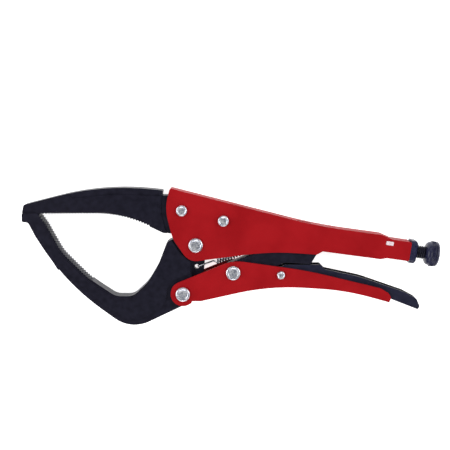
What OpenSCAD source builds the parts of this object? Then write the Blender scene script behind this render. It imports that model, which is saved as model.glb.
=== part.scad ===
// Locking C clamp, twelve inch class, lying on its side.
// Frame: millimetres, X towards the adjusting knob, Y towards the upper handle,
// Z up through the thickness. The origin is on the main pivot, on the rest plane.

/* [Thickness] */
// how far each rivet head stands out of a handle cheek
head_h = 1.8; // [1.2:0.1:2.6]
// outside width of both handle channels
handle_w = 16; // [14:0.5:18]
// sheet thickness of both handles
sheet = 1.8; // [1.6:0.1:2.0]
// jaw thickness at its plain sides
jaw_w = 14; // [12.8:0.2:15]

/* [Rivets] */
// head diameter of the three pivot rivets
pivot_head_d = 10.5; // [9:0.5:12]
// shank diameter of the three pivot rivets
pivot_d = 7; // [6:0.5:8]
// head diameter of the two rivets that hold the fixed jaw
fixed_head_d = 8; // [7:0.5:9]
// shank diameter of the two rivets that hold the fixed jaw
fixed_d = 5.6; // [5:0.2:6.4]
// head diameter of the release lever's rivet
lever_head_d = 5.9; // [5:0.1:7]
// shank diameter of the release lever's rivet
lever_d = 4; // [3.6:0.2:4.6]
// radial running clearance of each pivot
run_gap = 0.05; // [0.02:0.01:0.1]

/* [Adjusting screw] */
// major diameter of the screw thread
screw_d = 9.7; // [9.4:0.1:9.8]
// thread pitch
pitch = 1.5; // [1:0.25:1.75]
// diameter of the knurled knob
knob_d = 18.4; // [16:0.2:19]
// length of the knurled knob
knob_l = 9.6; // [9:0.1:11]
// how far the screw falls from the jaw end to the knob, in degrees
screw_fall = 8.2; // [7:0.1:9]

/* [Jaw teeth] */
// depth of the serrations
tooth_h = 1; // [0.6:0.1:1.4]
// number of serrations on the fixed jaw
fixed_teeth = 38; // [30:1:44]
// number of serrations on the movable jaw
movable_teeth = 30; // [24:1:36]

/* [Spring] */
// wire diameter of the return spring
wire_d = 1.2; // [1:0.1:1.4]
// outside diameter of the return spring
spring_d = 8.4; // [7:0.2:9]
// number of coils
coils = 20; // [16:1:24]

/* [Hidden] */
knob_back = -5.8; // the knob's inner face, along the screw
mid = head_h + handle_w / 2;
inner = handle_w / 2 - sheet;
tang = inner - 0.1;
jaw_half = jaw_w / 2;

main_pivot = [0, 0];
handle_pivot = [-9.4, -35.7];
link_pivot = [27, -20.1];
lever_pivot = [61.5, -21.6];
fixed_front = [-10, 25];
fixed_rear = [19.9, 17.6];
knob_at = [172.1, -7.3];
link_nose = [87.3, 4.9];
hook_jaw = [0.8, -16.2];
hook_handle = [76.5, 11.6];

// outlines
function unit(v) = v / norm(v);
function flat(l) = [for (a = l) for (b = a) b];

// one corner of an outline, rounded to radius r
function corner(p, q, s, r) =
    r <= 0 ? [[q.x, q.y]] :
    let (
        u = unit([p.x - q.x, p.y - q.y]),
        v = unit([s.x - q.x, s.y - q.y]),
        half = acos(u * v) / 2,
        c = [q.x, q.y] + unit(u + v) * r / sin(half),
        e = [q.x, q.y] + u * r / tan(half) - c,
        f = [q.x, q.y] + v * r / tan(half) - c,
        a = atan2(e.y, e.x),
        d = (atan2(f.y, f.x) - a + 900) % 360 - 180,
        n = max(2, ceil(abs(d) / 7), ceil(abs(d) * r / 400))
    )
    [for (i = [0:n]) c + r * [cos(a + d * i / n), sin(a + d * i / n)]];

// a closed outline from corners [x, y, r]
function outline(c) = flat([for (i = [0:len(c) - 1])
    corner(c[(i + len(c) - 1) % len(c)], c[i], c[(i + 1) % len(c)],
        c[i][2] == undef ? 0 : c[i][2])]);

// an open path: its first and last corners stay sharp
function path(c) = flat([for (i = [0:len(c) - 1])
    i == 0 || i == len(c) - 1 ? [[c[i].x, c[i].y]] :
    corner(c[i - 1], c[i], c[i + 1], c[i][2] == undef ? 0 : c[i][2])]);

// distance run along a path up to each of its points
function run(p, i = 0, sum = 0) =
    i >= len(p) ? [] :
    let (now = i == 0 ? 0 : sum + norm(p[i] - p[i - 1]))
    concat([now], run(p, i + 1, now));

// serrations between two distances on a path, cut to its left
function serrate(p, from, to, n, depth) =
    let (
        l = run(p),
        tx = [for (i = [0:len(p) - 1]) [l[i], p[i].x]],
        ty = [for (i = [0:len(p) - 1]) [l[i], p[i].y]],
        step = (to - from) / n
    )
    concat(
        [for (i = [0:len(p) - 1]) if (l[i] < from - 0.01) p[i]],
        flat([for (i = [0:n])
            let (
                t = from + i * step,
                g = t + step / 2,
                at = [lookup(t, tx), lookup(t, ty)],
                low = [lookup(g, tx), lookup(g, ty)],
                dir = unit([lookup(g + 0.3, tx), lookup(g + 0.3, ty)]
                    - [lookup(g - 0.3, tx), lookup(g - 0.3, ty)])
            )
            i < n ? [at, low + depth * [-dir.y, dir.x]] : [at]]),
        [for (i = [0:len(p) - 1]) if (l[i] > to + 0.01) p[i]]);

function lift(c, d) = [for (q = c) [q.x, q.y + d, q[2]]];

// a plate centred on the clamp's middle plane
module plate(points, half) {
    translate([0, 0, mid - half])
    linear_extrude(height = 2 * half)
    polygon(points);
}

module bore(at, r, half = 20) {
    translate([at.x, at.y, mid - half])
    cylinder(r = r, h = 2 * half, $fn = 96);
}

// handles
end_up = knob_at + along(-17.7, 6.95);
end_down = knob_at + along(-17.7, -6.9);
step_up = knob_at + along(-31.6, 6.95);

// a point given along and across the screw's axis
function along(s, v) =
    s * [cos(screw_fall), -sin(screw_fall)] + v * [sin(screw_fall), cos(screw_fall)];

function upper_top() = [
    [-18.4, 41.15, 1.5],
    [88, 13.85, 360],
    [134.2, 7.5, 6],
    [step_up.x, step_up.y, 6],
    [end_up.x, end_up.y, 1.2]
];

function upper_shape() = outline(concat(upper_top(), [
    [end_down.x, end_down.y, 1.2],
    [137.6, -9.3, 3],
    [133.2, -10.1, 3],
    [91.5, -4.5, 1.5],
    [87.2, -6.8, 1.5],
    [54.5, -4.36, 190],
    [-4.84, -12.25, 11],
    [-16.6, 4.8, 20],
    [-21, 22.5, 36],
    [-20.9, 31, 30]
]));

module upper_handle() {
    color("firebrick")
    difference() {
        union() {
            difference() {
                plate(upper_shape(), handle_w / 2);
                plate(outline(concat(
                    [[-40, 44.78]],
                    [[87.8, 12.02, 358], [133.9, 5.68, 4.5]],
                    [[141.5, 2.31, 7.5], [170, -1.8]],
                    [[170, -40], [-40, -40]])), inner);
            }
            // tab bent down out of the top for the spring's rear hook
            plate(outline([[73, 17], [73.2, 9.7, 2], [80.2, 9.7, 2], [80.4, 15.5]]), sheet / 2);
        }
        // the opening the tab came out of
        translate([73, 8, mid + sheet / 2])
        cube([10, 14, 4.6]);
        // windows for the nut's lugs
        translate([knob_at.x, knob_at.y, mid])
        rotate([0, 0, -screw_fall])
        translate([0, 0, -10])
        linear_extrude(height = 20)
        polygon(outline([[-36.1, 2.5, 0.8], [-30.5, 2.5, 0.8], [-30.5, 5.4, 0.8], [-36.1, 5.4, 0.8]]));
        bore(hook_handle, 1.3, 3);
        bore(main_pivot, pivot_d / 2 + 0.01);
        bore(fixed_front, fixed_d / 2 + 0.01);
        bore(fixed_rear, fixed_d / 2 + 0.01);
    }
}

function lower_shape() = outline([
    [-18.2, -29.5, 8.8],
    [26.7, -11, 29],
    [80.5, -18.6, 250],
    [133.5, -31.4, 8],
    [139.6, -35.1, 4],
    [141.3, -38.3, 2],
    [140, -41.7, 0.8],
    [108.4, -32.9, 180],
    [54.2, -29.5, 170],
    [3.8, -40.75, 5],
    [-2.6, -40.8, 0.8],
    [-3.4, -42.35, 0.5],
    [-18.2, -50.9, 8.8]
]);

module lower_handle() {
    color("firebrick")
    difference() {
        plate(lower_shape(), handle_w / 2);
        plate(outline([
            [-40, 10],
            [-40, -60],
            [3.4, -60],
            [3.4, -38.95],
            [54.2, -27.67, 168],
            [108.4, -31.08, 182],
            [150, -42.56],
            [170, -42.56],
            [170, 10]
        ]), inner);
        bore(handle_pivot, pivot_d / 2 + 0.01);
        bore(link_pivot, pivot_d / 2 + 0.01);
        bore(lever_pivot, lever_d / 2 + 0.01);
    }
}

// jaws
fixed_grip = concat(
    [[-124.7, 23.2], [-112, 23.1]],
    [for (i = [0:2]) [-111.6 + i * 19.8, 22.5]],
    [for (i = [1:12]) [-72 + 88 * sin(i * 26.5 / 12), -65.5 + 88 * cos(i * 26.5 / 12)]]);

// plain outline of the part in front of the handle
function fixed_front_shape() = concat(
    serrate(fixed_grip, 13.4, run(fixed_grip)[len(fixed_grip) - 1] - 0.3,
        fixed_teeth, tooth_h),
    path([
        [-32, 12.9],
        [-23.2, 8.7, 6],
        [-20.6, 8.6],
        [-22.3, 12, 20],
        [-25.1, 24, 30],
        [-23.9, 36.1, 0.6],
        [-23.4, 39.5, 0.8],
        [-65.7, 43.8, 190],
        [-123.4, 29.1, 1.6],
        [-124.7, 23.2]
    ]));

function fixed_side() = concat(
    [[-122, 24.3], [-112, 24.2]],
    [for (i = [0:12]) [-72 + 89.4 * sin(i * 25.4 / 12), -65.5 + 89.4 * cos(i * 25.4 / 12)]],
    path([
        [-32, 14.2],
        [-23.2, 9.4, 6],
        [-21.3, 9.2],
        [-22.6, 13, 20],
        [-25.4, 24, 30],
        [-24.4, 35.6],
        [-62, 36.5, 120],
        [-88.2, 33.3, 1],
        [-91.4, 36.2],
        [-121.4, 28.7]
    ]));

module fixed_jaw() {
    color("dimgray")
    difference() {
        union() {
            plate(fixed_front_shape(), jaw_half - 0.5);
            plate(fixed_side(), jaw_half);
            // tang that the two handle cheeks hold
            difference() {
                plate(outline([
                    [-40, 20],
                    [-40, 35.9],
                    [-12.5, 35.9, 12],
                    [31, 25, 4],
                    [31, 10.5, 3],
                    [-12, 10.5, 3],
                    [-17.2, 8, 6],
                    [-23, 9.5]
                ]), tang);
                bore(main_pivot, 12.2);
            }
        }
        bore(fixed_front, fixed_d / 2 + 0.01);
        bore(fixed_rear, fixed_d / 2 + 0.01);
    }
}

// inner side of the movable jaw, from the nose down into the throat
function movable_inner() = path([
    [-112.9, 23],
    [-107.4, 15.4, 7],
    [-96.3, -4.9, 30],
    [-76.4, -25, 60],
    [-58, -37.4, 12],
    [-45.5, -37.4, 10],
    [-34.6, -27.2, 30],
    [-27, -14.3, 35],
    [-20.7, 2.1]
]);

movable_outer = [
    [-0.1, -39.9, 8],
    [-47, -62.45, 24],
    [-93.95, -28.2, 168],
    [-115.6, 6.6, 10],
    [-120.4, 16.2, 2.5],
    [-124.8, 16.9, 0.8],
    [-124.8, 23, 0.6]
];

movable_tang = [
    [-20.7, 2.1, 3],
    [-3.9, 9.9, 9.4],
    [10.3, 9.4, 9.6],
    [10.3, -8.6, 8],
    [-3.2, -12.4, 2],
    [-3.2, -23.5, 6],
    [-0.1, -29, 6]
];

// where the jaw is thinned to run between the handle cheeks
movable_pocket = outline([
    [-18.3, 30],
    [-18.3, 4.9],
    [-12.2, -4.7, 16],
    [-3.2, -13, 0.6],
    [-3.2, -20.2, 1],
    [-16.4, -25.8, 5],
    [-20.9, -31, 8],
    [-21.6, -40, 14],
    [-25.4, -46.3, 6],
    [-41.2, -54.9, 1],
    [-44.6, -62],
    [-44.6, -80],
    [40, -80],
    [40, 30]
]);

module movable_jaw() {
    // the path runs down the throat, so the serrations are cut on its right
    cut = serrate(movable_inner(), 1.2, 62, movable_teeth, -tooth_h);
    ear_half = 2.8;
    color("dimgray")
    difference() {
        union() {
            difference() {
                union() {
                    plate(concat([for (q = cut) if (q.x < -24) q],
                        path(concat([[-23.5, -5.19]], movable_tang, movable_outer,
                            [[-112.9, 23]]))), jaw_half - 0.5);
                    plate(outline([
                        [-124.8, 23, 0.6],
                        [-113.6, 23, 1],
                        [-108.4, 15, 7],
                        [-98, -5.8, 30],
                        [-77.3, -26.4, 60],
                        [-58.2, -38.3, 12],
                        [-45.2, -38.3, 10],
                        [-33.9, -27.7, 30],
                        [-26, -14, 35],
                        [-21.1, -0.1],
                        [-19.4, 3],
                        [-4, 9],
                        [-4, -24],
                        [-6, -41],
                        [-26, -51.2],
                        [-48, -56.2, 14],
                        [-66, -44.2, 30],
                        [-86, -27.4, 60],
                        [-95.4, -15.6, 1],
                        [-99.4, -18.2, 0.5],
                        [-114.7, 6.6, 10],
                        [-120.4, 16.2, 2.5],
                        [-124.8, 16.9, 0.8]
                    ]), jaw_half);
                }
                for (side = [0, 1])
                translate([0, 0, mid])
                mirror([0, 0, side])
                translate([0, 0, tang])
                linear_extrude(height = 10)
                polygon(movable_pocket);
            }
            // ear that takes the spring's front hook
            plate(outline([
                [-6, -8],
                [-6, -30],
                [-1, -27],
                [5.8, -19.3, 4.5],
                [6.6, -11, 2]
            ]), ear_half);
        }
        bore(main_pivot, pivot_d / 2 + run_gap);
        bore(handle_pivot, pivot_d / 2 + run_gap);
        bore(hook_jaw, 1.75);
    }
}

// linkage
module toggle_link() {
    color("dimgray")
    difference() {
        plate(outline([
            [19.6, -15.1, 7],
            [link_nose.x + 6, 13.67, 6],
            [link_nose.x + 6, 3.0, 6],
            [83, -14.1, 1.5],
            [64, -12.9, 8],
            [47, -21.5, 14],
            [19.6, -29.4, 7]
        ]), inner - 0.2);
        bore(link_pivot, pivot_d / 2 + run_gap);
    }
}

module release_lever() {
    color("dimgray")
    difference() {
        plate(outline([
            [55.5, -15.6, 5.9],
            [62.8, -15.6, 0.8],
            [64.2, -14.45, 0.8],
            [90, -14.45, 1.2],
            [93.3, -17.8, 1.6],
            [119, -23.3, 60],
            [151, -34.4, 14],
            [160, -39.3, 3.5],
            [162.4, -44.8, 2],
            [161.2, -47.3, 1],
            [128, -34.1, 30],
            [98, -27.6, 20],
            [55.5, -27.6, 5.9]
        ]), inner - 0.2);
        plate(outline([
            [40, 0],
            [40, -40],
            [69, -40],
            [69, -25.8],
            [98, -25.78, 22],
            [128, -32.2, 32],
            [159.6, -44.8, 0.6],
            [160.6, -44.4, 0.6],
            [158.6, -40.2, 2],
            [170, -20],
            [170, 0]
        ]), inner - 0.2 - 1.8);
        bore(lever_pivot, lever_d / 2 + run_gap);
    }
}

// rivets
module rivet(at, shank, head) {
    r = shank / 2;
    h = head / 2;
    translate([at.x, at.y, 0])
    rotate_extrude($fn = 96)
    polygon(concat(
        [[0, 0], [h - 1.35, 0]],
        [for (i = [0:6]) [h - 1.2 + 1.2 * sin(i * 15), 1.3 - 1.2 * cos(i * 15)]],
        [[h, head_h], [r, head_h], [r, 2 * mid - head_h], [h, 2 * mid - head_h]],
        [for (i = [6:-1:0]) [h - 1.2 + 1.2 * sin(i * 15), 2 * mid - 1.3 + 1.2 * cos(i * 15)]],
        [[h - 1.35, 2 * mid], [0, 2 * mid]]));
}

module fixed_rivet_front() {
    color("lightgray") rivet(fixed_front, fixed_d, fixed_head_d);
}

module fixed_rivet_rear() {
    color("lightgray") rivet(fixed_rear, fixed_d, fixed_head_d);
}

module main_pivot_rivet() {
    color("lightgray") rivet(main_pivot, pivot_d, pivot_head_d);
}

module handle_pivot_rivet() {
    color("lightgray") rivet(handle_pivot, pivot_d, pivot_head_d);
}

module link_rivet() {
    color("lightgray") rivet(link_pivot, pivot_d, pivot_head_d);
}

module lever_rivet() {
    color("lightgray") rivet(lever_pivot, lever_d, lever_head_d);
}

// screw
// children are drawn along the screw, from the knob's centre at x = 0
module on_screw() {
    translate([knob_at.x, knob_at.y, mid])
    rotate([0, 0, -screw_fall])
    children();
}

module lathe() {
    rotate([0, 90, 0])
    rotate_extrude($fn = 96)
    children();
}

module adjusting_screw() {
    r = screw_d / 2;
    root = r - 0.6 * pitch;
    first = -72.5;
    turns = 44;
    stop = knob_back + 1.2;
    color("dimgray")
    on_screw()
    rotate([0, 90, 0])
    rotate_extrude($fn = 96)
    polygon(concat(
        [[0, -78.1], [2.6, -78.1], [root - 0.1, -76.4], [root - 0.1, first]],
        flat([for (i = [0:turns - 1]) [
            [root, first + i * pitch + 0.15],
            [r, first + i * pitch + 0.62],
            [r, first + i * pitch + 0.88],
            [root, first + i * pitch + 1.35]]]),
        [[root, stop], [0, stop]]));
}

module screw_knob() {
    r = knob_d / 2;
    dome = 3.4;
    rim = 2.4;
    face = knob_back + knob_l;
    socket = 5;
    color("dimgray")
    on_screw()
    difference() {
        union() {
            lathe()
            polygon(concat(
                [[0, knob_back]],
                [for (i = [0:6]) [r - 0.4 - dome + dome * sin(i * 15), knob_back + dome - dome * cos(i * 15)]],
                [for (i = [6:-1:0]) [r - 0.4 - rim + rim * sin(i * 15), face - rim + rim * cos(i * 15)]],
                [[0, face]]));
            // knurled band
            rotate([0, 90, 0])
            translate([0, 0, knob_back + dome])
            linear_extrude(height = knob_l - dome - rim)
            polygon([for (i = [0:95]) (r - (i % 2) * 0.5) * [cos(i * 3.75), sin(i * 3.75)]]);
        }
        // hexagon socket in the outer face
        rotate([0, 90, 0])
        translate([0, 0, face - socket])
        cylinder(r = 6 / sqrt(3), h = socket + 1, $fn = 6);
        // seat for the end of the screw
        rotate([0, 90, 0])
        translate([0, 0, knob_back - 1])
        cylinder(r = screw_d / 2 - 0.6 * pitch + run_gap, h = 2.75, $fn = 96);
    }
}

module screw_nut() {
    color("silver")
    on_screw()
    difference() {
        union() {
            translate([0, 0, -inner + 0.05])
            linear_extrude(height = 2 * inner - 0.1)
            polygon([[-47, -6.3], [-34, -6.3], [-34, 5.4], [-39.8, 6.7], [-47, 6.7]]);
            // lugs that stand in the windows of both cheeks
            translate([0, 0, -handle_w / 2])
            linear_extrude(height = handle_w)
            polygon(outline([[-36, 2.6, 0.7], [-30.6, 2.6, 0.7], [-30.6, 5.3, 0.7], [-36, 5.3, 0.7]]));
        }
        translate([-60, 0, 0])
        rotate([0, 90, 0])
        cylinder(r = screw_d / 2 + run_gap, h = 40, $fn = 96);
    }
}

module end_collar() {
    h = 8.3;
    w = handle_w / 2;
    color("dimgray")
    on_screw()
    difference() {
        union() {
            // flange, with its outer edges bevelled
            intersection() {
                translate([0, 0, -w])
                linear_extrude(height = 2 * w)
                polygon([[-17.6, -h], [-14.4, -h], [-12.6, -h + 2.2], [-12.6, h - 2.2], [-14.4, h], [-17.6, h]]);
                rotate([90, 0, 0])
                translate([0, 0, -h])
                linear_extrude(height = 2 * h)
                polygon([[-17.6, -w], [-14.4, -w], [-12.6, -w + 2.2], [-12.6, w - 2.2], [-14.4, w], [-17.6, w]]);
                rotate([0, 90, 0])
                translate([0, 0, -18])
                linear_extrude(height = 6)
                polygon(outline([[-w, -h, 3], [w, -h, 3], [w, h, 3], [-w, h, 3]]));
            }
            // spigot inside the end of the channel
            translate([-24, -6.3, -inner + 0.05])
            cube([7, 10.8, 2 * inner - 0.1]);
        }
        translate([-30, 0, 0])
        rotate([0, 90, 0])
        cylinder(r = 5.35, h = 30, $fn = 96);
    }
}

// spring
// the wire's centre line, as [point, direction across the wire]
function spring_line() =
    let (
        span = norm(hook_handle - hook_jaw),
        a = unit(hook_handle - hook_jaw),
        b = [-a.y, a.x],
        r = (spring_d - wire_d) / 2,
        start = 14.5,
        stop = 56.5,
        n = 20,
        p = function (d, v, w) [
            hook_jaw.x + a.x * d + b.x * v,
            hook_jaw.y + a.y * d + b.y * v,
            mid + w]
    )
    concat(
        [for (w = [-4.6, 0, r - 1]) [p(0.95, 0, w), [b.x, b.y, 0]]],
        [[p(1.25, 0, r - 0.3), [b.x, b.y, 0]]],
        [[p(1.95, 0, r), [b.x, b.y, 0]]],
        [[p(start - 2.2, 0, r), [b.x, b.y, 0]]],
        [[p(start - 1, -0.25, r), unit([b.x + a.x * 0.4, b.y + a.y * 0.4, 0])]],
        [for (i = [2:coils * n - 2])
            let (t = 360 * i / n)
            [p(start + (stop - start) * i / (coils * n), -r * sin(t), r * cos(t)),
                [a.x, a.y, 0]]],
        [[p(stop + 1, 0.25, r), unit([b.x * -1 + a.x * 0.4, b.y * -1 + a.y * 0.4, 0])]],
        [[p(stop + 2.2, 0, r), [-b.x, -b.y, 0]]],
        [[p(span - 1.6, 0, r), [-b.x, -b.y, 0]]],
        [[p(span - 0.9, 0, r - 0.3), [-b.x, -b.y, 0]]],
        [for (w = [r - 1, 0, -2.6]) [p(span - 0.6, 0, w), [-b.x, -b.y, 0]]]);

module return_spring() {
    line = spring_line();
    n = len(line);
    k = 8;
    points = flat([for (i = [0:n - 1])
        let (
            back = line[max(0, i - 1)][0],
            ahead = line[min(n - 1, i + 1)][0],
            t = unit(ahead - back),
            u = unit(line[i][1] - (line[i][1] * t) * t),
            v = cross(t, u)
        )
        [for (j = [0:k - 1]) line[i][0]
            + wire_d / 2 * (cos(360 * j / k) * u + sin(360 * j / k) * v)]]);
    color("gray")
    polyhedron(
        points = points,
        faces = concat(
            [[for (j = [0:k - 1]) j]],
            [for (i = [0:n - 2]) for (j = [0:k - 1])
                [i * k + j, (i + 1) * k + j, (i + 1) * k + (j + 1) % k, i * k + (j + 1) % k]],
            [[for (j = [k - 1:-1:0]) (n - 1) * k + j]]),
        convexity = 10);
}

upper_handle();
fixed_jaw();
fixed_rivet_front();
fixed_rivet_rear();
main_pivot_rivet();
screw_nut();
end_collar();
adjusting_screw();
screw_knob();
return_spring();
movable_jaw();
handle_pivot_rivet();
lower_handle();
link_rivet();
toggle_link();
release_lever();
lever_rivet();
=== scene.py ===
import bpy
import bmesh
import math
from mathutils import Matrix, Vector


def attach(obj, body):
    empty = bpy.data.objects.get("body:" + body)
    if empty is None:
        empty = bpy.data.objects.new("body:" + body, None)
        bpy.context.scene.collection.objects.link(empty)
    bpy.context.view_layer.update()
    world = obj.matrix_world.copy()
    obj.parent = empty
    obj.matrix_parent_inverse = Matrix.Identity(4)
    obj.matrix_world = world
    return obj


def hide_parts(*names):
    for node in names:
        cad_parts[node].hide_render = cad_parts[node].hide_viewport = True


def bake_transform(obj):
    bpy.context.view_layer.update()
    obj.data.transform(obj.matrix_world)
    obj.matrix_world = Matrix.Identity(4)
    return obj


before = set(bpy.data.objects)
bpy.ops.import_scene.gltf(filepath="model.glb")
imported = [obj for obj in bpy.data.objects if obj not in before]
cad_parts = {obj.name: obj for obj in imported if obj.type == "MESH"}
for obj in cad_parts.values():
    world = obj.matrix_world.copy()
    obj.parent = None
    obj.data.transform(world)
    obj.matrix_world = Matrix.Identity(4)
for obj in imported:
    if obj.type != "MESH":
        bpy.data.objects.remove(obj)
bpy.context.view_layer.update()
scene = bpy.context.scene
print("stage: frame loaded,", len(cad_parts), "nodes")

mm = 0.001
middle = 0.0098  # height of the clamp's middle plane
midHeight = 9.8  # the same height in mm, for shapes reckoned in mm
screwFall = math.radians(8.2)  # the screw runs downhill towards the knob
screwAxis = Vector((math.cos(screwFall), -math.sin(screwFall), 0))
knobCentre = Vector((172.1, -7.3, 9.8)) * mm


# small tools for nodes and meshes

def linearColour(hexText):
    parts = [int(hexText[i:i + 2], 16) / 255 for i in (1, 3, 5)]
    linear = [p / 12.92 if p <= 0.04045 else ((p + 0.055) / 1.055) ** 2.4 for p in parts]
    return (*linear, 1.0)


def addNode(tree, kind, inputs=None, **settings):
    node = tree.nodes.new(kind)
    for name, value in settings.items():
        setattr(node, name, value)
    for key, value in (inputs or {}).items():
        if isinstance(value, bpy.types.NodeSocket):
            tree.links.new(value, node.inputs[key])
        else:
            node.inputs[key].default_value = value
    return node


def newMaterial(name):
    material = bpy.data.materials.new(name)
    material.use_nodes = True
    tree = material.node_tree
    tree.nodes.clear()
    out = addNode(tree, "ShaderNodeOutputMaterial")
    skin = addNode(tree, "ShaderNodeBsdfPrincipled")
    tree.links.new(skin.outputs[0], out.inputs["Surface"])
    where = addNode(tree, "ShaderNodeTexCoord").outputs["Object"]
    return material, tree, skin, where


def rampOf(tree, factor, stops):
    ramp = addNode(tree, "ShaderNodeValToRGB", {"Fac": factor})
    marks = ramp.color_ramp.elements
    while len(marks) < len(stops):
        marks.new(0.5)
    for mark, (place, colour) in zip(marks, stops):
        mark.position = place
        mark.color = colour
    return ramp.outputs["Color"]


# finishes

powderCoat = {
    "red": "#A2181E",
    "deepRed": "#951319",
    "cloudScale": 45,     # the two reds drift into each other over about 22 mm
    "peelSize": 0.9,      # mm between the bumps of the orange peel, drawn a little coarse
    "peelHeight": 0.010,  # mm
    "peelStrength": 0.35,
    "roughness": 0.42,
    "patchScale": 120,    # patches of a little more or less gloss, about 8 mm across
    "shine": 0.04,
}


def makePowderCoat():
    # polyester powder coat, sprayed and baked: even colour, soft gloss, a fine orange peel
    material, tree, skin, where = newMaterial("redPowderCoat")
    cloud = addNode(tree, "ShaderNodeTexNoise",
        {"Vector": where, "Scale": powderCoat["cloudScale"], "Detail": 3})
    colour = rampOf(tree, cloud.outputs["Fac"],
        [(0.35, linearColour(powderCoat["deepRed"])), (0.65, linearColour(powderCoat["red"]))])
    tree.links.new(colour, skin.inputs["Base Color"])
    peel = addNode(tree, "ShaderNodeTexNoise",
        {"Vector": where, "Scale": 1000 / powderCoat["peelSize"], "Detail": 1.5})
    bump = addNode(tree, "ShaderNodeBump",
        {"Strength": powderCoat["peelStrength"], "Distance": powderCoat["peelHeight"] * mm,
        "Height": peel.outputs["Fac"]})
    tree.links.new(bump.outputs["Normal"], skin.inputs["Normal"])
    skin.inputs["Specular IOR Level"].default_value = powderCoat["shine"]
    patch = addNode(tree, "ShaderNodeTexNoise",
        {"Vector": where, "Scale": powderCoat["patchScale"], "Detail": 4})
    gloss = addNode(tree, "ShaderNodeMapRange", {"Value": patch.outputs["Fac"],
        "From Min": 0.3, "From Max": 0.7,
        "To Min": powderCoat["roughness"] - 0.05, "To Max": powderCoat["roughness"] + 0.06})
    tree.links.new(gloss.outputs["Result"], skin.inputs["Roughness"])
    return material


blackSteel = {
    "black": "#11101C",
    "lighter": "#191828",
    "scaleSize": 3.5,   # mm across the patches left by forging scale
    "grainSize": 0.5,   # mm, blasted grain drawn a little coarse
    "bumpHeight": 0.04,  # mm
    "bumpStrength": 0.4,
    "roughness": 0.42,
    "shine": 0.2,
    "shade": "#08080C",  # used only with paintedShadeWithin
}


def makeBlackSteel(name, values):
    # drop-forged steel, shot-blasted and blackened in hot oxide: blue-black, satin, faintly mottled
    material, tree, skin, where = newMaterial(name)
    scaleMarks = addNode(tree, "ShaderNodeTexNoise",
        {"Vector": where, "Scale": 1000 / values["scaleSize"], "Detail": 5, "Roughness": 0.6})
    colour = rampOf(tree, scaleMarks.outputs["Fac"],
        [(0.32, linearColour(values["black"])), (0.72, linearColour(values["lighter"]))])
    if "paintedShadeWithin" in values:
        # a stand-in for shade, not a finish: near black within paintedShadeWithin mm of the middle plane
        height = addNode(tree, "ShaderNodeSeparateXYZ", {"Vector": where}).outputs["Z"]
        offset = addNode(tree, "ShaderNodeMath", {0: height, 1: middle}, operation="SUBTRACT")
        away = addNode(tree, "ShaderNodeMath", {0: offset.outputs[0]}, operation="ABSOLUTE")
        outside = addNode(tree, "ShaderNodeMath",
            {0: away.outputs[0], 1: values["paintedShadeWithin"] * mm}, operation="GREATER_THAN")
        shaded = addNode(tree, "ShaderNodeMix", {"Factor": outside.outputs[0]}, data_type="RGBA")
        shaded.inputs[6].default_value = linearColour(values["shade"])
        tree.links.new(colour, shaded.inputs[7])
        colour = shaded.outputs[2]
    tree.links.new(colour, skin.inputs["Base Color"])
    grain = addNode(tree, "ShaderNodeTexNoise",
        {"Vector": where, "Scale": 1000 / values["grainSize"], "Detail": 2})
    both = addNode(tree, "ShaderNodeMath",
        {0: scaleMarks.outputs["Fac"], 1: 0.6, 2: grain.outputs["Fac"]}, operation="MULTIPLY_ADD")
    bump = addNode(tree, "ShaderNodeBump",
        {"Strength": values["bumpStrength"], "Distance": values["bumpHeight"] * mm,
        "Height": both.outputs[0]})
    tree.links.new(bump.outputs["Normal"], skin.inputs["Normal"])
    skin.inputs["Specular IOR Level"].default_value = values["shine"]
    gloss = addNode(tree, "ShaderNodeMapRange", {"Value": scaleMarks.outputs["Fac"],
        "From Min": 0.3, "From Max": 0.75,
        "To Min": values["roughness"] - 0.08, "To Max": values["roughness"] + 0.1})
    tree.links.new(gloss.outputs["Result"], skin.inputs["Roughness"])
    return material


zincPlate = {
    "bright": "#FBFCFF",
    "dull": "#CDD3E6",
    "spotScale": 900,    # spots of the plating, about 1.1 mm apart
    "bumpHeight": 0.03,  # mm
    "bumpStrength": 0.25,
    "roughness": 0.36,
}


def makeZincPlate(name, values):
    # steel with bright zinc plate over a pressed surface: pale, slightly blue, mottled shine
    material, tree, skin, where = newMaterial(name)
    skin.inputs["Metallic"].default_value = 1
    spot = addNode(tree, "ShaderNodeTexNoise", {"Vector": where, "Scale": values["spotScale"], "Detail": 3})
    colour = rampOf(tree, spot.outputs["Fac"],
        [(0.35, linearColour(values["dull"])), (0.62, linearColour(values["bright"]))])
    tree.links.new(colour, skin.inputs["Base Color"])
    bump = addNode(tree, "ShaderNodeBump",
        {"Strength": values["bumpStrength"], "Distance": values["bumpHeight"] * mm,
        "Height": spot.outputs["Fac"]})
    tree.links.new(bump.outputs["Normal"], skin.inputs["Normal"])
    gloss = addNode(tree, "ShaderNodeMapRange", {"Value": spot.outputs["Fac"],
        "From Min": 0.3, "From Max": 0.7,
        "To Min": values["roughness"] - 0.07, "To Max": values["roughness"] + 0.1})
    tree.links.new(gloss.outputs["Result"], skin.inputs["Roughness"])
    return material


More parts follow.
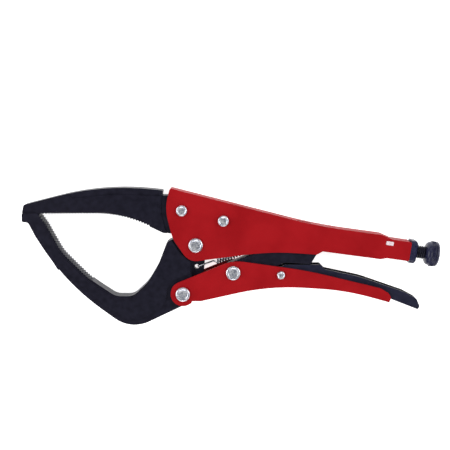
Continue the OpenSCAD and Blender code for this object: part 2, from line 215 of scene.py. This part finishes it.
redCoat = makePowderCoat()
forgedBlack = makeBlackSteel("blackOxideForging", blackSteel)
# the lever's sheet gets painted shade: near black within 5.6 mm of the middle plane, between its cheeks
pressedBlackWithShade = makeBlackSteel("blackOxideSheet",
    {**blackSteel, "black": "#1A1B2B", "lighter": "#222338", "scaleSize": 6, "roughness": 0.4,
     "paintedShadeWithin": 5.6})
screwBlack = makeBlackSteel("blackOxideTurned",
    {**blackSteel, "black": "#14131F", "lighter": "#201F30", "scaleSize": 2, "roughness": 0.3})
knobBlack = makeBlackSteel("blackOxideKnob",
    {**blackSteel, "black": "#1D1E33", "lighter": "#2B2C4A", "scaleSize": 1.6, "roughness": 0.3,
     "shine": 0.3})
rivetZinc = makeZincPlate("zincPlateRivet", zincPlate)
# the nut's pale pink base colour is a painted reflection of the red handle around it
nutZincPaintedRedReflection = makeZincPlate("zincPlateNut",
    {**zincPlate, "dull": "#F2DCE4", "bright": "#FFF4F8", "roughness": 0.6})
springWire = makeZincPlate("drawnSpringWire",
    {**zincPlate, "bright": "#C9CCD2", "dull": "#8E929C", "spotScale": 500, "roughness": 0.28})
print("stage: finishes made")


# pieces that follow their CAD node, with worked edges

def shapeOf(nodeName, pieceName):
    # a clean copy of the node: joined triangles, flats dissolved, no stored normals
    shell = bmesh.new()
    shell.from_mesh(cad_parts[nodeName].data)
    bmesh.ops.remove_doubles(shell, verts=shell.verts, dist=0.004 * mm)
    bmesh.ops.dissolve_limit(shell, angle_limit=math.radians(0.5), verts=shell.verts, edges=shell.edges)
    shell.verts.ensure_lookup_table()
    points = [v.co.copy() for v in shell.verts]
    faces = [[v.index for v in f.verts] for f in shell.faces]
    shell.free()
    mesh = bpy.data.meshes.new(pieceName)
    mesh.from_pydata(points, [], faces)
    mesh.update()
    piece = bpy.data.objects.new(pieceName, mesh)
    scene.collection.objects.link(piece)
    return piece


smoothAngle = 20  # degrees: an edge that turns less than this is part of a curve and stays

# shares of a direction's length along one axis, which tell faces and edges apart
cheekShare = 0.9   # along z: a normal belongs to a cheek, an edge runs through the thickness
foldShare = 0.6    # along y: a normal belongs to the face along a fold
lengthShare = 0.8  # along x: an edge runs lengthwise


def workEdges(piece, radiusAt, steps=3):
    # radiusAt(edge middle, both face normals, edge direction) gives each edge's rounding in mm
    shell = bmesh.new()
    shell.from_mesh(piece.data)
    weights = shell.edges.layers.float.new("bevel_weight_edge")
    radii = {}
    for e in shell.edges:
        if len(e.link_faces) != 2:
            continue
        angle = e.calc_face_angle(0)
        if angle < math.radians(smoothAngle):
            continue
        centre = (e.verts[0].co + e.verts[1].co) / 2
        along = (e.verts[1].co - e.verts[0].co).normalized()
        radii[e.index] = radiusAt(centre / mm, e.link_faces[0].normal, e.link_faces[1].normal, along)
    largest = max(radii.values())
    for e in shell.edges:
        e[weights] = radii.get(e.index, 0) / largest
    shell.to_mesh(piece.data)
    shell.free()
    bevel = piece.modifiers.new("edges", "BEVEL")
    bevel.limit_method = "WEIGHT"
    bevel.width = largest * mm
    bevel.segments = steps
    bevel.offset_type = "OFFSET"
    bevel.use_clamp_overlap = True
    bevel.loop_slide = True
    for face in piece.data.polygons:
        face.use_smooth = True
    tidy = piece.modifiers.new("shading", "WEIGHTED_NORMAL")
    tidy.weight = 80
    tidy.keep_sharp = False
    makePlain(piece)
    return piece


def makePlain(piece):
    # the result of the modifiers becomes the piece's own mesh
    seen = piece.evaluated_get(bpy.context.evaluated_depsgraph_get())
    mesh = bpy.data.meshes.new_from_object(seen)
    piece.modifiers.clear()
    piece.data = mesh
    mesh.name = piece.name
    return piece


def place(piece, body, material, slotName, *nodes):
    piece.data.materials.clear()
    piece.data.materials.append(material)
    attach(piece, body)
    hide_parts(*nodes)


upperHandle = {
    "bendRadius": 4.6,    # mm, outside the fold along the top
    "insideRadius": 2.8,  # mm, inside the same fold
    "edge": 0.25,
    "outerFace": 7.9,     # mm from the middle plane, just under the cheeks' outer faces
    "innerFace": 6.2,     # mm from the middle plane to the cheeks' inner faces
    "foldAbove": -2,      # mm in y, the inner fold lies beyond this
}


def makeUpperHandle():
    piece = shapeOf("upper_handle", "upperHandleShell")

    def radiusAt(at, n1, n2, along):
        side = max(abs(n1.z), abs(n2.z)) > cheekShare
        upwards = max(n1.y, n2.y) > foldShare
        lengthwise = abs(along.x) > lengthShare
        outer = abs(at.z - midHeight) > upperHandle["outerFace"]
        if side and lengthwise and outer and upwards and n1.y + n2.y > foldShare:
            return upperHandle["bendRadius"]
        inner = abs(abs(at.z - midHeight) - upperHandle["innerFace"]) < 0.05
        downwards = min(n1.y, n2.y) < -foldShare
        if side and lengthwise and inner and downwards and at.y > upperHandle["foldAbove"]:
            return upperHandle["insideRadius"]
        return upperHandle["edge"]

    workEdges(piece, radiusAt, 4)
    place(piece, "frame", redCoat, "red_powder_coat", "upper_handle")


lowerHandle = {
    "bendRadius": 3.4,  # mm, outside the fold along the bottom
    "edge": 0.3,
    "outerFace": 7.9,   # mm from the middle plane, just under the cheeks' outer faces
    "foldFrom": 4.2,    # mm in x, where the fold begins
}


def makeLowerHandle():
    piece = shapeOf("lower_handle", "lowerHandleShell")

    def radiusAt(at, n1, n2, along):
        side = max(abs(n1.z), abs(n2.z)) > cheekShare
        outer = abs(at.z - midHeight) > lowerHandle["outerFace"]
        downwards = min(n1.y, n2.y) < -foldShare
        if side and outer and downwards and at.x > lowerHandle["foldFrom"] and abs(along.x) > lengthShare:
            return lowerHandle["bendRadius"]
        return lowerHandle["edge"]

    workEdges(piece, radiusAt, 4)
    place(piece, "handle", redCoat, "red_powder_coat", "lower_handle")


forging = {
    "outerEdge": 0.9,
    "raisedEdge": 0.4,
    "toothEdge": 0.12,
    "pocketEdge": 0.5,
    "seamEdge": 0.1,       # where two faces meet at less than 1 radian
    "uprightEdge": 0.5,    # edges through the thickness
    "uprightTooth": 0.05,  # the same edges on the teeth
    "raisedFace": 6.9,     # mm from the middle plane, just under the raised face
    "outerFace": 6.4,      # mm from the middle plane, just under the outer face
}


def fixedTeeth(at):
    # the underside of the fixed jaw, in mm
    return -112.4 < at.x < -32 and at.y < 24.2


def movableTeeth(at):
    # the inner side of the jaw's outer arm, in mm: beyond a line along the teeth
    beyondLine = (at.x + 112) * 1.02 + (at.y - 22) > -12
    return -112 < at.x < -67 and at.y > -33 and beyondLine


def makeJaw(nodeName, pieceName, body, toothZone):
    piece = shapeOf(nodeName, pieceName)

    def radiusAt(at, n1, n2, along):
        height = abs(at.z - midHeight)
        if abs(along.z) > cheekShare:
            return forging["uprightTooth"] if toothZone(at) else forging["uprightEdge"]
        if toothZone(at):
            return forging["toothEdge"]
        if height > forging["raisedFace"]:
            return forging["raisedEdge"]
        if height > forging["outerFace"]:
            return forging["outerEdge"] if n1.angle(n2, 0) > 1 else forging["seamEdge"]
        return forging["pocketEdge"]

    workEdges(piece, radiusAt, 2)
    place(piece, body, forgedBlack, "black_forged_steel", nodeName)


toggleLink = {"edge": 0.7, "uprightEdge": 0.3}


def makeLink():
    piece = shapeOf("toggle_link", "toggleLinkPlate")

    def radiusAt(at, n1, n2, along):
        return toggleLink["edge"] if abs(along.z) < 0.5 else toggleLink["uprightEdge"]

    workEdges(piece, radiusAt)
    place(piece, "link", forgedBlack, "black_forged_steel", "toggle_link")


releaseLever = {
    "bendRadius": 1.7,
    "edge": 0.15,
    "outerFace": 5.9,  # mm from the middle plane, just under the cheeks' outer faces
    "foldFrom": 68,    # mm in x, where the fold begins
}


def makeLever():
    piece = shapeOf("release_lever", "releaseLeverPressing")

    def radiusAt(at, n1, n2, along):
        outer = abs(at.z - midHeight) > releaseLever["outerFace"]
        if outer and min(n1.y, n2.y) < -foldShare and at.x > releaseLever["foldFrom"]:
            return releaseLever["bendRadius"]
        return releaseLever["edge"]

    workEdges(piece, radiusAt)
    place(piece, "lever", pressedBlackWithShade, "black_forged_steel", "release_lever")


endCollar = {"edge": 0.5}


def makeCollar():
    piece = shapeOf("end_collar", "endCollarPressing")
    workEdges(piece, lambda at, n1, n2, along: endCollar["edge"])
    place(piece, "frame", knobBlack, "black_screw_steel", "end_collar")


screwNut = {"edge": 0.45}


def makeNut():
    piece = shapeOf("screw_nut", "screwNutBlock")
    workEdges(piece, lambda at, n1, n2, along: screwNut["edge"])
    place(piece, "frame", nutZincPaintedRedReflection, "nut_steel", "screw_nut")


makeUpperHandle()
makeLowerHandle()
makeJaw("fixed_jaw", "fixedJawForging", "frame", fixedTeeth)
makeJaw("movable_jaw", "movableJawForging", "jaw", movableTeeth)
makeLink()
makeLever()
makeCollar()
makeNut()
print("stage: handles, jaws and pressings made")


# pieces grown by geometry nodes

def newGrower(name, sockets):
    tree = bpy.data.node_groups.new(name, "GeometryNodeTree")
    face = tree.interface
    face.new_socket("Geometry", in_out="INPUT", socket_type="NodeSocketGeometry")
    for label, kind, value in sockets:
        made = face.new_socket(label, in_out="INPUT", socket_type="NodeSocket" + kind)
        if value is not None:
            made.default_value = value
    face.new_socket("Geometry", in_out="OUTPUT", socket_type="NodeSocketGeometry")
    return tree, addNode(tree, "NodeGroupInput").outputs


def endGrower(tree, geometry, material):
    real = addNode(tree, "GeometryNodeRealizeInstances", {"Geometry": geometry})
    painted = addNode(tree, "GeometryNodeSetMaterial",
        {"Geometry": real.outputs[0], "Material": material})
    addNode(tree, "NodeGroupOutput", {0: painted.outputs[0]})


def growPiece(name, tree, values, base):
    piece = bpy.data.objects.new(name, base)
    scene.collection.objects.link(piece)
    grow = piece.modifiers.new("grow", "NODES")
    grow.node_group = tree
    for item in tree.interface.items_tree:
        if item.item_type == "SOCKET" and item.in_out == "INPUT" and item.name in values:
            grow[item.identifier] = values[item.name]
    return makePlain(piece)


def latheMesh(name, profile, sides, matrix=None):
    # profile is (radius, height) from bottom to top, both ends on the axis
    shell = bmesh.new()
    rings = []
    for radius, height in profile:
        if radius < 1e-7:
            rings.append([shell.verts.new((0, 0, height))])
        else:
            rings.append([shell.verts.new((radius * math.cos(2 * math.pi * i / sides),
                radius * math.sin(2 * math.pi * i / sides), height)) for i in range(sides)])
    for low, high in zip(rings, rings[1:]):
        for i in range(sides):
            j = (i + 1) % sides
            if len(low) == 1:
                shell.faces.new((low[0], high[j], high[i]))
            elif len(high) == 1:
                shell.faces.new((low[i], low[j], high[0]))
            else:
                shell.faces.new((low[i], low[j], high[j], high[i]))
    bmesh.ops.recalc_face_normals(shell, faces=shell.faces)
    if matrix:
        bmesh.ops.transform(shell, matrix=matrix, verts=shell.verts)
    mesh = bpy.data.meshes.new(name)
    shell.to_mesh(mesh)
    shell.free()
    for face in mesh.polygons:
        face.use_smooth = True
    return mesh


onScrew = Matrix.Translation(knobCentre) @ screwAxis.to_track_quat("Z", "Y").to_matrix().to_4x4()

rivets = {
    # x, y and head width in mm
    "frame": [(-10.0, 25.0, 8.0), (19.9, 17.6, 8.0), (0, 0, 10.5)],
    "handle": [(-9.4, -35.7, 10.5), (27.0, -20.1, 10.5), (61.5, -21.6, 5.9)],
    "headHeight": 1.8,      # mm
    "shank": 0.33,          # radius, as a share of the head's width
    "roundedHeight": 0.62,  # as a share of the head's height
    "roundedWidth": 0.085,  # as a share of the head's width
    "sides": 56,
}


def rivetGrower():
    # one rivet, 1 m across its head before scaling, is set on every point of the base
    tree, given = newGrower("setRivets", [
        ("Rivet", "Object", None), ("Material", "Material", None)])
    shape = addNode(tree, "GeometryNodeObjectInfo", {"Object": given["Rivet"]})
    wide = addNode(tree, "GeometryNodeInputNamedAttribute", {"Name": "headWidth"}, data_type="FLOAT")
    size = addNode(tree, "ShaderNodeCombineXYZ",
        {"X": wide.outputs["Attribute"], "Y": wide.outputs["Attribute"], "Z": 1.0})
    many = addNode(tree, "GeometryNodeInstanceOnPoints", {
        "Points": given["Geometry"], "Instance": shape.outputs["Geometry"], "Scale": size.outputs[0]})
    endGrower(tree, many.outputs[0], given["Material"])
    return tree


def rivetProfile():
    # half the rivet's section: shallow struck centre, raised rim, shank between the cheeks
    h = rivets["headHeight"] * mm
    rounded = rivets["roundedHeight"]
    full = 2 * middle
    top = [(0.5, full - h), (0.5, full - h * rounded)]
    for step in range(1, 7):
        turn = step * math.pi / 12
        top.append((0.5 - rivets["roundedWidth"] * (1 - math.cos(turn)),
            full - h * rounded + h * rounded * math.sin(turn)))
    top += [(0.36, full - 0.02 * mm), (0.335, full - 0.16 * mm), (0.31, full - 0.22 * mm),
        (0.15, full - 0.16 * mm), (0.0, full - 0.14 * mm)]
    upper = [(rivets["shank"], full - h)] + top
    lower = [(r, full - z) for r, z in reversed(upper)]
    return lower + upper


def makeRivets():
    tree = rivetGrower()
    stamp = bpy.data.objects.new("rivetStamp", latheMesh("rivetStamp", rivetProfile(), rivets["sides"]))
    scene.collection.objects.link(stamp)
    names = {"frame": ("fixed_rivet_front", "fixed_rivet_rear", "main_pivot_rivet"),
        "handle": ("handle_pivot_rivet", "link_rivet", "lever_rivet")}
    for body in ("frame", "handle"):
        base = bpy.data.meshes.new("rivetPoints")
        base.from_pydata([(x * mm, y * mm, 0) for x, y, head in rivets[body]], [], [])
        wide = base.attributes.new("headWidth", "FLOAT", "POINT")
        wide.data.foreach_set("value", [head * mm for x, y, head in rivets[body]])
        piece = growPiece(body + "Rivets", tree, {"Rivet": stamp, "Material": rivetZinc}, base)
        place(piece, body, rivetZinc, "rivet_steel", *names[body])
    bpy.data.objects.remove(stamp)


screwThread = {
    "majorRadius": 4.85,
    "coreRadius": 4.0,
    "pitch": 1.5,
    "turns": 44,
    "stepsPerTurn": 40,
    "tip": -78.1,    # mm along the screw from knobCentre
    "start": -72.5,  # mm, where the thread begins
    "tipRadius": 2.6,
    "tipTaper": 1.7,
    "bareEnd": 1.9,  # mm of plain rod after the thread, partly inside the knob
}


def makeScrew():
    v = screwThread
    tree, given = newGrower("cutThread", [
        ("Core Radius", "Float", 0.004), ("Pitch", "Float", 0.0015), ("Turns", "Float", 10.0),
        ("Steps per Turn", "Int", 32), ("Ridge Radius", "Float", 0.0008), ("Material", "Material", None)])
    height = addNode(tree, "ShaderNodeMath", {0: given["Pitch"], 1: given["Turns"]}, operation="MULTIPLY")
    helix = addNode(tree, "GeometryNodeCurveSpiral", {"Resolution": given["Steps per Turn"],
        "Rotations": given["Turns"], "Start Radius": given["Core Radius"],
        "End Radius": given["Core Radius"], "Height": height.outputs[0]})
    upright = addNode(tree, "GeometryNodeSetCurveNormal", {"Curve": helix.outputs[0]}, mode="Z_UP")
    ridge = addNode(tree, "GeometryNodeCurvePrimitiveCircle",
        {"Resolution": 4, "Radius": given["Ridge Radius"]}, mode="RADIUS")
    swept = addNode(tree, "GeometryNodeCurveToMesh", {"Curve": upright.outputs[0],
        "Profile Curve": ridge.outputs[0], "Fill Caps": True})
    both = addNode(tree, "GeometryNodeJoinGeometry")
    tree.links.new(swept.outputs[0], both.inputs[0])
    tree.links.new(given["Geometry"], both.inputs[0])
    endGrower(tree, both.outputs[0], given["Material"])
    core = v["coreRadius"] * mm
    bottom = v["tip"] - v["start"]
    length = v["pitch"] * v["turns"] + v["bareEnd"]
    rod = latheMesh("screwRod", [(0, bottom * mm), (v["tipRadius"] * mm, bottom * mm),
        (core - 0.0001, (bottom + v["tipTaper"]) * mm),
        (core, 0), (core, length * mm), (0, length * mm)], 48)
    piece = growPiece("adjustingScrewThread", tree, {"Core Radius": core, "Pitch": v["pitch"] * mm,
        "Turns": float(v["turns"]), "Steps per Turn": v["stepsPerTurn"],
        "Ridge Radius": (v["majorRadius"] - v["coreRadius"]) * mm, "Material": screwBlack}, rod)
    piece.data.transform(onScrew @ Matrix.Translation((0, 0, v["start"] * mm)))
    place(piece, "screw", screwBlack, "black_screw_steel", "adjusting_screw")


knob = {
    "radius": 9.2,
    "back": -5.8,       # mm along the screw from knobCentre
    "face": 3.8,
    "bandStart": 3.5,   # mm from the back
    "bandStop": 2.5,    # mm from the face
    "bandInset": 0.35,
    "domeCentre": 5.6,  # mm from the axis to the centre of the back's rounding
    "ridges": 46,
    "ridgeLength": 3.4,
    "ridgeDepth": 0.34,
    "slant": 32,        # degrees
}


def knobProfile():
    # half section in mm: domed back, knurled band, groove, rounded rim, round socket
    r, back, face = knob["radius"], knob["back"], knob["face"]
    dome = knob["domeCentre"]
    line = [(0, back), (5.0, back), (dome, back + 0.15)]
    line += [(dome + 3.0 * math.sin(a), back + 3.2 - 3.05 * math.cos(a)) for a in (0.35, 0.7, 1.05, 1.35)]
    line += [(r - 0.75, back + 3.3), (r - knob["bandInset"], back + knob["bandStart"]),
        (r - 0.3, face - knob["bandStop"]), (r - 0.8, face - 2.3)]
    line += [(r - 0.8, face - 2.1), (r - 0.12, face - 2.0), (r - 0.12, face - 1.7)]
    line += [(r - 2.2 + 2.05 * math.cos(a), face - 2.0 + 1.95 * math.sin(a)) for a in (0.4, 0.8, 1.2, 1.57)]
    line += [(6.6, face - 0.05), (6.3, face - 0.4), (4.2, face - 0.4), (3.7, face - 0.65), (3.5, face - 4.6),
        (0, face - 5)]
    return [(radius * mm, height * mm) for radius, height in line]


def makeKnob():
    tree, given = newGrower("knurlBand", [
        ("Band Radius", "Float", 0.009), ("Ridges", "Int", 40), ("Ridge Length", "Float", 0.005),
        ("Ridge Depth", "Float", 0.0004), ("Slant", "Float", 0.5), ("Material", "Material", None)])
    ring = addNode(tree, "GeometryNodeMeshCircle",
        {"Vertices": given["Ridges"], "Radius": given["Band Radius"]})
    rod = addNode(tree, "GeometryNodeMeshCylinder", {"Vertices": 4, "Radius": given["Ridge Depth"],
        "Depth": given["Ridge Length"]})
    where = addNode(tree, "GeometryNodeInputPosition")
    facing = addNode(tree, "FunctionNodeAlignRotationToVector", {"Vector": where.outputs[0]}, axis="X")
    both = addNode(tree, "GeometryNodeJoinGeometry")
    tree.links.new(given["Geometry"], both.inputs[0])
    for sign in (-1, 1):
        lean = addNode(tree, "ShaderNodeMath", {0: given["Slant"], 1: float(sign)}, operation="MULTIPLY")
        turn = addNode(tree, "ShaderNodeCombineXYZ", {"X": lean.outputs[0]})
        turned = addNode(tree, "FunctionNodeRotateRotation",
            {"Rotation": facing.outputs[0], "Rotate By": turn.outputs[0]}, rotation_space="LOCAL")
        many = addNode(tree, "GeometryNodeInstanceOnPoints", {"Points": ring.outputs[0],
            "Instance": rod.outputs[0], "Rotation": turned.outputs[0]})
        tree.links.new(many.outputs[0], both.inputs[0])
    endGrower(tree, both.outputs[0], given["Material"])
    # the knurl is grown around the middle of its band, then moved along with the turned body
    bandMiddle = (knob["back"] + knob["bandStart"] + knob["face"] - knob["bandStop"]) / 2
    body = latheMesh("knobBody", knobProfile(), 72, Matrix.Translation((0, 0, -bandMiddle * mm)))
    piece = growPiece("screwKnobTurned", tree,
        {"Band Radius": (knob["radius"] - knob["bandInset"]) * mm,
        "Ridges": knob["ridges"], "Ridge Length": knob["ridgeLength"] * mm,
        "Ridge Depth": knob["ridgeDepth"] * mm, "Slant": math.radians(knob["slant"]),
        "Material": knobBlack}, body)
    piece.data.transform(onScrew @ Matrix.Translation((0, 0, bandMiddle * mm)))
    place(piece, "knob", knobBlack, "black_screw_steel", "screw_knob")


spring = {
    "outside": 8.4,
    "wire": 1.2,
    "wireSides": 10,
    "coils": 20,
    "stepsPerCoil": 24,
    "start": 14.5,          # mm from the hook, where the coils begin and end
    "stop": 56.5,
    "hook": (0.8, -16.2),   # mm, in the jaw's ear
    "tab": (76.5, 11.6),    # mm, in the upper handle
}


def springLine():
    # centre line of the wire in mm: hook through the jaw's ear, coils, hook through the handle's tab
    hook = Vector((*spring["hook"], midHeight))
    tab = Vector((*spring["tab"], midHeight))
    a = (tab - hook).normalized()
    b = Vector((-a.y, a.x, 0))
    up = Vector((0, 0, 1))
    r = (spring["outside"] - spring["wire"]) / 2
    span = (tab - hook).length
    steps = spring["stepsPerCoil"]

    def at(d, v, w):
        return hook + a * d + b * v + up * w

    line = [at(0.95, 0, -4.6), at(0.95, 0, 0), at(0.97, 0, r - 1.0), at(1.3, 0, r - 0.3), at(2.0, 0, r),
        at(6.0, 0, r), at(spring["start"] - 2.0, 0, r)]
    count = spring["coils"] * steps
    for i in range(2, count - 1):
        t = 2 * math.pi * i / steps
        line.append(at(spring["start"] + (spring["stop"] - spring["start"]) * i / count,
            -r * math.sin(t), r * math.cos(t)))
    line += [at(spring["stop"] + 2.0, 0, r), at(span - 6, 0, r), at(span - 1.6, 0, r),
        at(span - 0.9, 0, r - 0.3), at(span - 0.6, 0, r - 1.0), at(span - 0.6, 0, 0), at(span - 0.6, 0, -2.6)]
    return line


def makeSpring():
    tree, given = newGrower("bendWire", [
        ("Wire Radius", "Float", 0.0006), ("Sides", "Int", 10), ("Material", "Material", None)])
    path = addNode(tree, "GeometryNodeMeshToCurve", {"Mesh": given["Geometry"]})
    section = addNode(tree, "GeometryNodeCurvePrimitiveCircle",
        {"Resolution": given["Sides"], "Radius": given["Wire Radius"]}, mode="RADIUS")
    wire = addNode(tree, "GeometryNodeCurveToMesh",
        {"Curve": path.outputs[0], "Profile Curve": section.outputs[0], "Fill Caps": True})
    endGrower(tree, wire.outputs[0], given["Material"])
    line = springLine()
    base = bpy.data.meshes.new("springPath")
    base.from_pydata([p * mm for p in line], [(i, i + 1) for i in range(len(line) - 1)], [])
    piece = growPiece("returnSpringCoils", tree,
        {"Wire Radius": spring["wire"] / 2 * mm, "Sides": spring["wireSides"],
        "Material": springWire}, base)
    piece.data.materials.clear()
    piece.data.materials.append(springWire)
    for face in piece.data.polygons:
        face.use_smooth = True
    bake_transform(piece)
    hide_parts("return_spring")


makeRivets()
makeScrew()
makeKnob()
makeSpring()
print("stage: rivets, screw, knob and spring made")


# floor, light and camera

studio = {
    "floor": "#F7F7F8",
    "floorDim": "#F5F5F6",
    "floorHalf": 30,  # m, so that a low view meets no edge
    "glow": 0.85,  # a lit acrylic table: it keeps shadows faint
    "air": 0.12,
    "aim": (0.02, 0, 0),  # m, where every light points
    "lights": [  # name, place (m), size (m), power (W)
        ("softboxLeft", (-1.0, 0.10, 0.70), 0.9, 10.5),
        ("softboxRight", (1.05, 0.25, 0.75), 0.9, 10.5),
        ("softboxTop", (0.05, 0.95, 0.75), 0.8, 2.5),
        ("softboxLow", (0.0, -1.0, 0.75), 0.9, 7.0),
    ],
}


def makeStudio():
    floorMesh = bpy.data.meshes.new("studioFloor")
    far = studio["floorHalf"]
    corners = [(-far, -far, 0), (far, -far, 0), (far, far, 0), (-far, far, 0)]
    floorMesh.from_pydata(corners, [], [(0, 1, 2, 3)])
    floor = bpy.data.objects.new("studioFloor", floorMesh)
    scene.collection.objects.link(floor)
    material, tree, skin, where = newMaterial("paperFloor")
    cloud = addNode(tree, "ShaderNodeTexNoise", {"Vector": where, "Scale": 3, "Detail": 2})
    colour = rampOf(tree, cloud.outputs["Fac"],
        [(0.3, linearColour(studio["floorDim"])), (0.7, linearColour(studio["floor"]))])
    tree.links.new(colour, skin.inputs["Base Color"])
    skin.inputs["Roughness"].default_value = 0.95
    skin.inputs["Specular IOR Level"].default_value = 0.1
    skin.inputs["Emission Color"].default_value = (1, 1, 1, 1)
    skin.inputs["Emission Strength"].default_value = studio["glow"]
    floorMesh.materials.append(material)
    world = bpy.data.worlds.new("studioAir")
    world.use_nodes = True
    world.node_tree.nodes["Background"].inputs["Color"].default_value = (1, 1, 1, 1)
    world.node_tree.nodes["Background"].inputs["Strength"].default_value = studio["air"]
    scene.world = world
    aim = Vector(studio["aim"])
    for name, at, size, power in studio["lights"]:
        lamp = bpy.data.lights.new(name, "AREA")
        lamp.shape = "SQUARE"
        lamp.size = size
        lamp.energy = power
        holder = bpy.data.objects.new(name, lamp)
        holder.location = at
        holder.rotation_euler = (aim - Vector(at)).to_track_quat("-Z", "Y").to_euler()
        scene.collection.objects.link(holder)


viewpoint = {
    "target": (21.1, 13.8, 9.8),  # mm
    "tilt": 6.8,                  # degrees from straight above
    "distance": 725,              # mm
    "lens": 80,
    "sensor": 36,
}


def makeCamera():
    lens = bpy.data.cameras.new("studioCamera")
    lens.lens = viewpoint["lens"]
    lens.sensor_width = viewpoint["sensor"]
    lens.dof.use_dof = False
    camera = bpy.data.objects.new("studioCamera", lens)
    target = Vector(viewpoint["target"]) * mm
    tilt = math.radians(viewpoint["tilt"])
    camera.location = target + Vector((0, math.sin(tilt), math.cos(tilt))) * viewpoint["distance"] * mm
    camera.rotation_euler = (-tilt, 0, 0)
    scene.collection.objects.link(camera)
    scene.camera = camera
    scene.view_settings.view_transform = "Standard"


makeStudio()
makeCamera()
print("stage: studio ready")

bpy.context.view_layer.update()
